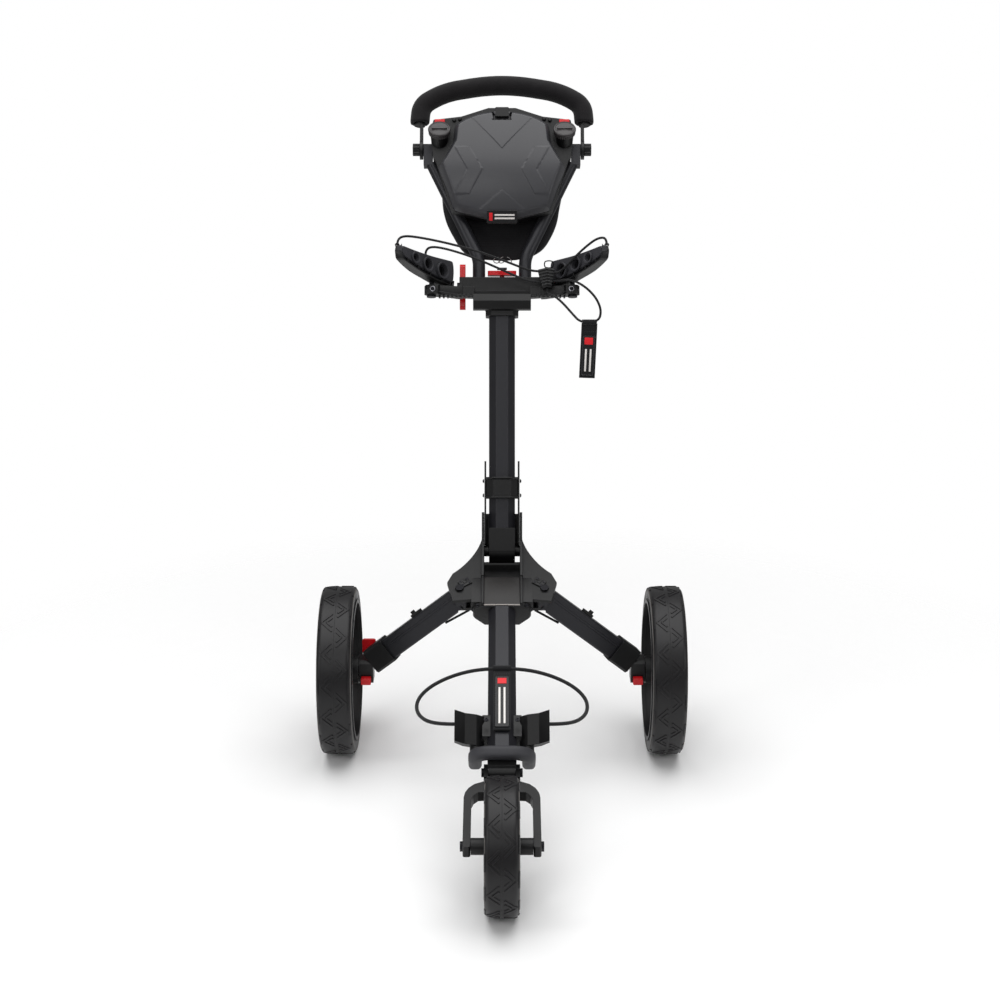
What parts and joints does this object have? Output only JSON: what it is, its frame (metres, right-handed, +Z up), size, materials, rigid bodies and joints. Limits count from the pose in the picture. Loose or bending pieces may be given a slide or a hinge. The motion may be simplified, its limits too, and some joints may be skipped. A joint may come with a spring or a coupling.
{
  "type": "golf push cart",
  "caption": "Folding three-wheel golf push cart with an upright tube, bag cradle, fold-down handle, lidded console and elastic bag cords.",
  "frame": {"origin": "centre of the bounding box's base, on the floor between the three wheels", "axes": "+Z up, +Y towards the handle and the person pushing, -Y towards the front wheel, +X the right-hand side seen from the front"},
  "size_m": [0.623, 1.0776, 1.1245],
  "materials": {
    "anthracite_metal": "satin powder coat",
    "black_nylon": "fine moulded grain",
    "grey_nylon": "fine moulded grain",
    "red_nylon": "smooth moulded",
    "tyre_foam": "matte moulded",
    "soft_rubber": "matte moulded",
    "grip_foam": "closed-cell foam",
    "black_steel": "black oxide",
    "bright_steel": "zinc plated",
    "mesh_cloth": "woven mesh",
    "webbing": "woven webbing",
    "elastic_cord": "braided sheath"
  },
  "bodies": {
    "frame": {"lower_tube": "anthracite_metal", "hub_block": "black_nylon", "hinge_channel": "black_nylon", "shoulder_left": "black_nylon", "shoulder_right": "black_nylon", "frame_pins": "black_steel", "fork_block": "black_nylon", "lower_bracket": "black_nylon", "bag_foot": "soft_rubber", "lower_cord": "elastic_cord", "lower_cord_tab": "webbing"},
    "front_fork": {"front_fork": "black_nylon", "fork_clamps": "black_nylon", "fork_bolts": "black_steel"},
    "front_wheel": {"front_rim": "black_nylon", "front_tyre": "tyre_foam"},
    "rear_arm_left": {"rear_arm_left": "anthracite_metal", "axle_block_left": "black_nylon", "rear_axle_left": "black_steel", "arm_fittings_left": "black_nylon"},
    "rear_arm_right": {"rear_arm_right": "anthracite_metal", "axle_block_right": "black_nylon", "rear_axle_right": "black_steel", "arm_fittings_right": "black_nylon"},
    "rear_wheel_left": {"rear_rim_left": "black_nylon", "rear_tyre_left": "tyre_foam"},
    "rear_wheel_right": {"rear_rim_right": "black_nylon", "rear_tyre_right": "tyre_foam"},
    "release_button_left": {"release_button_left": "red_nylon"},
    "release_button_right": {"release_button_right": "red_nylon"},
    "brake_pedal": {"brake_pedal": "red_nylon"},
    "upper_frame": {"upper_tube": "anthracite_metal", "tube_foot": "black_nylon", "tube_head": "black_nylon", "cradle_band": "black_nylon", "upper_pins": "black_steel", "cord_buckle": "black_nylon", "upper_cord_high": "elastic_cord", "upper_cord_low": "elastic_cord", "upper_cord_right": "elastic_cord", "pull_cord": "elastic_cord", "pull_tab": "webbing"},
    "lock_collar": {"lock_collar": "black_nylon"},
    "cradle_arm_left": {"cradle_arm_left": "black_nylon", "cradle_pad_left": "soft_rubber"},
    "cradle_arm_right": {"cradle_arm_right": "black_nylon", "cradle_pad_right": "soft_rubber"},
    "height_lever": {"height_lever": "red_nylon"},
    "handle_latch": {"handle_latch": "red_nylon"},
    "handle": {"handle_tubes": "anthracite_metal", "console_tray": "black_nylon", "lid_pin": "black_steel", "pouch": "mesh_cloth"},
    "console_lid": {"console_lid": "grey_nylon"},
    "lid_latch": {"lid_latch": "black_nylon"},
    "accessory_cap_left": {"accessory_cap_left": "grey_nylon"},
    "accessory_cap_right": {"accessory_cap_right": "grey_nylon"},
    "grip": {"grip_bar": "black_nylon", "grip_foam": "grip_foam"},
    "thumb_screws": {"thumb_screws": "black_nylon"}
  },
  "joints": [
    {"name": "fork_fold", "type": "hinge", "parent": "frame", "child": "front_fork", "pos_m": [0, -0.2785, 0.144], "axis": [1, 0, 0], "range_deg": [0, 100]},
    {"name": "front_wheel_spin", "type": "hinge", "parent": "front_fork", "child": "front_wheel", "pos_m": [0, -0.43655, 0.10254], "axis": [1, 0, 0], "continuous": true},
    {"name": "rear_arm_left_fold", "type": "hinge", "parent": "frame", "child": "rear_arm_left", "pos_m": [-0.072, 0.07403, 0.29875], "axis": [0, -0.402, 0.9157], "range_deg": [0, 45]},
    {"name": "rear_arm_right_fold", "type": "hinge", "parent": "frame", "child": "rear_arm_right", "pos_m": [0.072, 0.07403, 0.29875], "axis": [0, -0.402, 0.9157], "range_deg": [-45, 0]},
    {"name": "rear_wheel_left_spin", "type": "hinge", "parent": "rear_arm_left", "child": "rear_wheel_left", "pos_m": [-0.2825, 0.1225, 0.145], "axis": [1, 0, 0], "continuous": true},
    {"name": "rear_wheel_right_spin", "type": "hinge", "parent": "rear_arm_right", "child": "rear_wheel_right", "pos_m": [0.2825, 0.1225, 0.145], "axis": [1, 0, 0], "continuous": true},
    {"name": "release_button_left_press", "type": "slide", "parent": "rear_arm_left", "child": "release_button_left", "axis": [0, 1, 0], "range_m": [0, 0.003], "stiffness_N_per_m": 500},
    {"name": "release_button_right_press", "type": "slide", "parent": "rear_arm_right", "child": "release_button_right", "axis": [0, 1, 0], "range_m": [0, 0.003], "stiffness_N_per_m": 500},
    {"name": "brake_press", "type": "hinge", "parent": "rear_arm_left", "child": "brake_pedal", "pos_m": [-0.217, 0.15, 0.168], "axis": [1, 0, 0], "range_deg": [-20, 0]},
    {"name": "main_fold", "type": "hinge", "parent": "frame", "child": "upper_frame", "pos_m": [0, 0.1775, 0.345], "axis": [1, 0, 0], "range_deg": [0, 100]},
    {"name": "lock_collar_slide", "type": "slide", "parent": "upper_frame", "child": "lock_collar", "axis": [0, 0.3305, 0.9438], "range_m": [0, 0.03]},
    {"name": "cradle_left_swing", "type": "hinge", "parent": "upper_frame", "child": "cradle_arm_left", "pos_m": [-0.122, 0.29244, 0.78183], "axis": [0, 0.4067, 0.9136], "range_deg": [-10, 10], "deforming": ["upper_cord_high", "upper_cord_low"]},
    {"name": "cradle_right_swing", "type": "hinge", "parent": "upper_frame", "child": "cradle_arm_right", "pos_m": [0.122, 0.29244, 0.78183], "axis": [0, 0.4067, 0.9136], "range_deg": [-10, 10], "deforming": ["upper_cord_right"]},
    {"name": "height_lever_turn", "type": "hinge", "parent": "upper_frame", "child": "height_lever", "pos_m": [-0.069, 0.3454, 0.7768], "axis": [1, 0, 0], "range_deg": [0, 25]},
    {"name": "handle_latch_press", "type": "slide", "parent": "upper_frame", "child": "handle_latch", "axis": [0, -0.3305, -0.9438], "range_m": [0, 0.004], "stiffness_N_per_m": 800},
    {"name": "handle_fold", "type": "hinge", "parent": "upper_frame", "child": "handle", "pos_m": [0, 0.3454, 0.7768], "axis": [1, 0, 0], "range_deg": [-135, 0]},
    {"name": "lid_open", "type": "hinge", "parent": "handle", "child": "console_lid", "pos_m": [0, 0.37055, 0.88799], "axis": [1, 0, 0], "range_deg": [0, 95]},
    {"name": "lid_latch_press", "type": "slide", "parent": "console_lid", "child": "lid_latch", "axis": [0, -0.4695, -0.8829], "range_m": [0, 0.004], "stiffness_N_per_m": 500},
    {"name": "accessory_cap_left_turn", "type": "hinge", "parent": "handle", "child": "accessory_cap_left", "pos_m": [-0.11, 0.43502, 1.03267], "axis": [0, -0.5299, 0.848], "range_deg": [0, 90]},
    {"name": "accessory_cap_right_turn", "type": "hinge", "parent": "handle", "child": "accessory_cap_right", "pos_m": [0.11, 0.43502, 1.03267], "axis": [0, -0.5299, 0.848], "range_deg": [0, 90]},
    {"name": "grip_angle", "type": "hinge", "parent": "handle", "child": "grip", "pos_m": [0, 0.46418, 1.00017], "axis": [1, 0, 0], "range_deg": [-30, 0]},
    {"name": "thumb_screw_turn", "type": "hinge", "parent": "grip", "child": "thumb_screws", "pos_m": [0, 0.46418, 1.00017], "axis": [1, 0, 0], "continuous": true}
  ],
  "couplings": [
    {"joint": "rear_arm_right_fold", "follows": "rear_arm_left_fold", "ratio": -1}
  ]
}
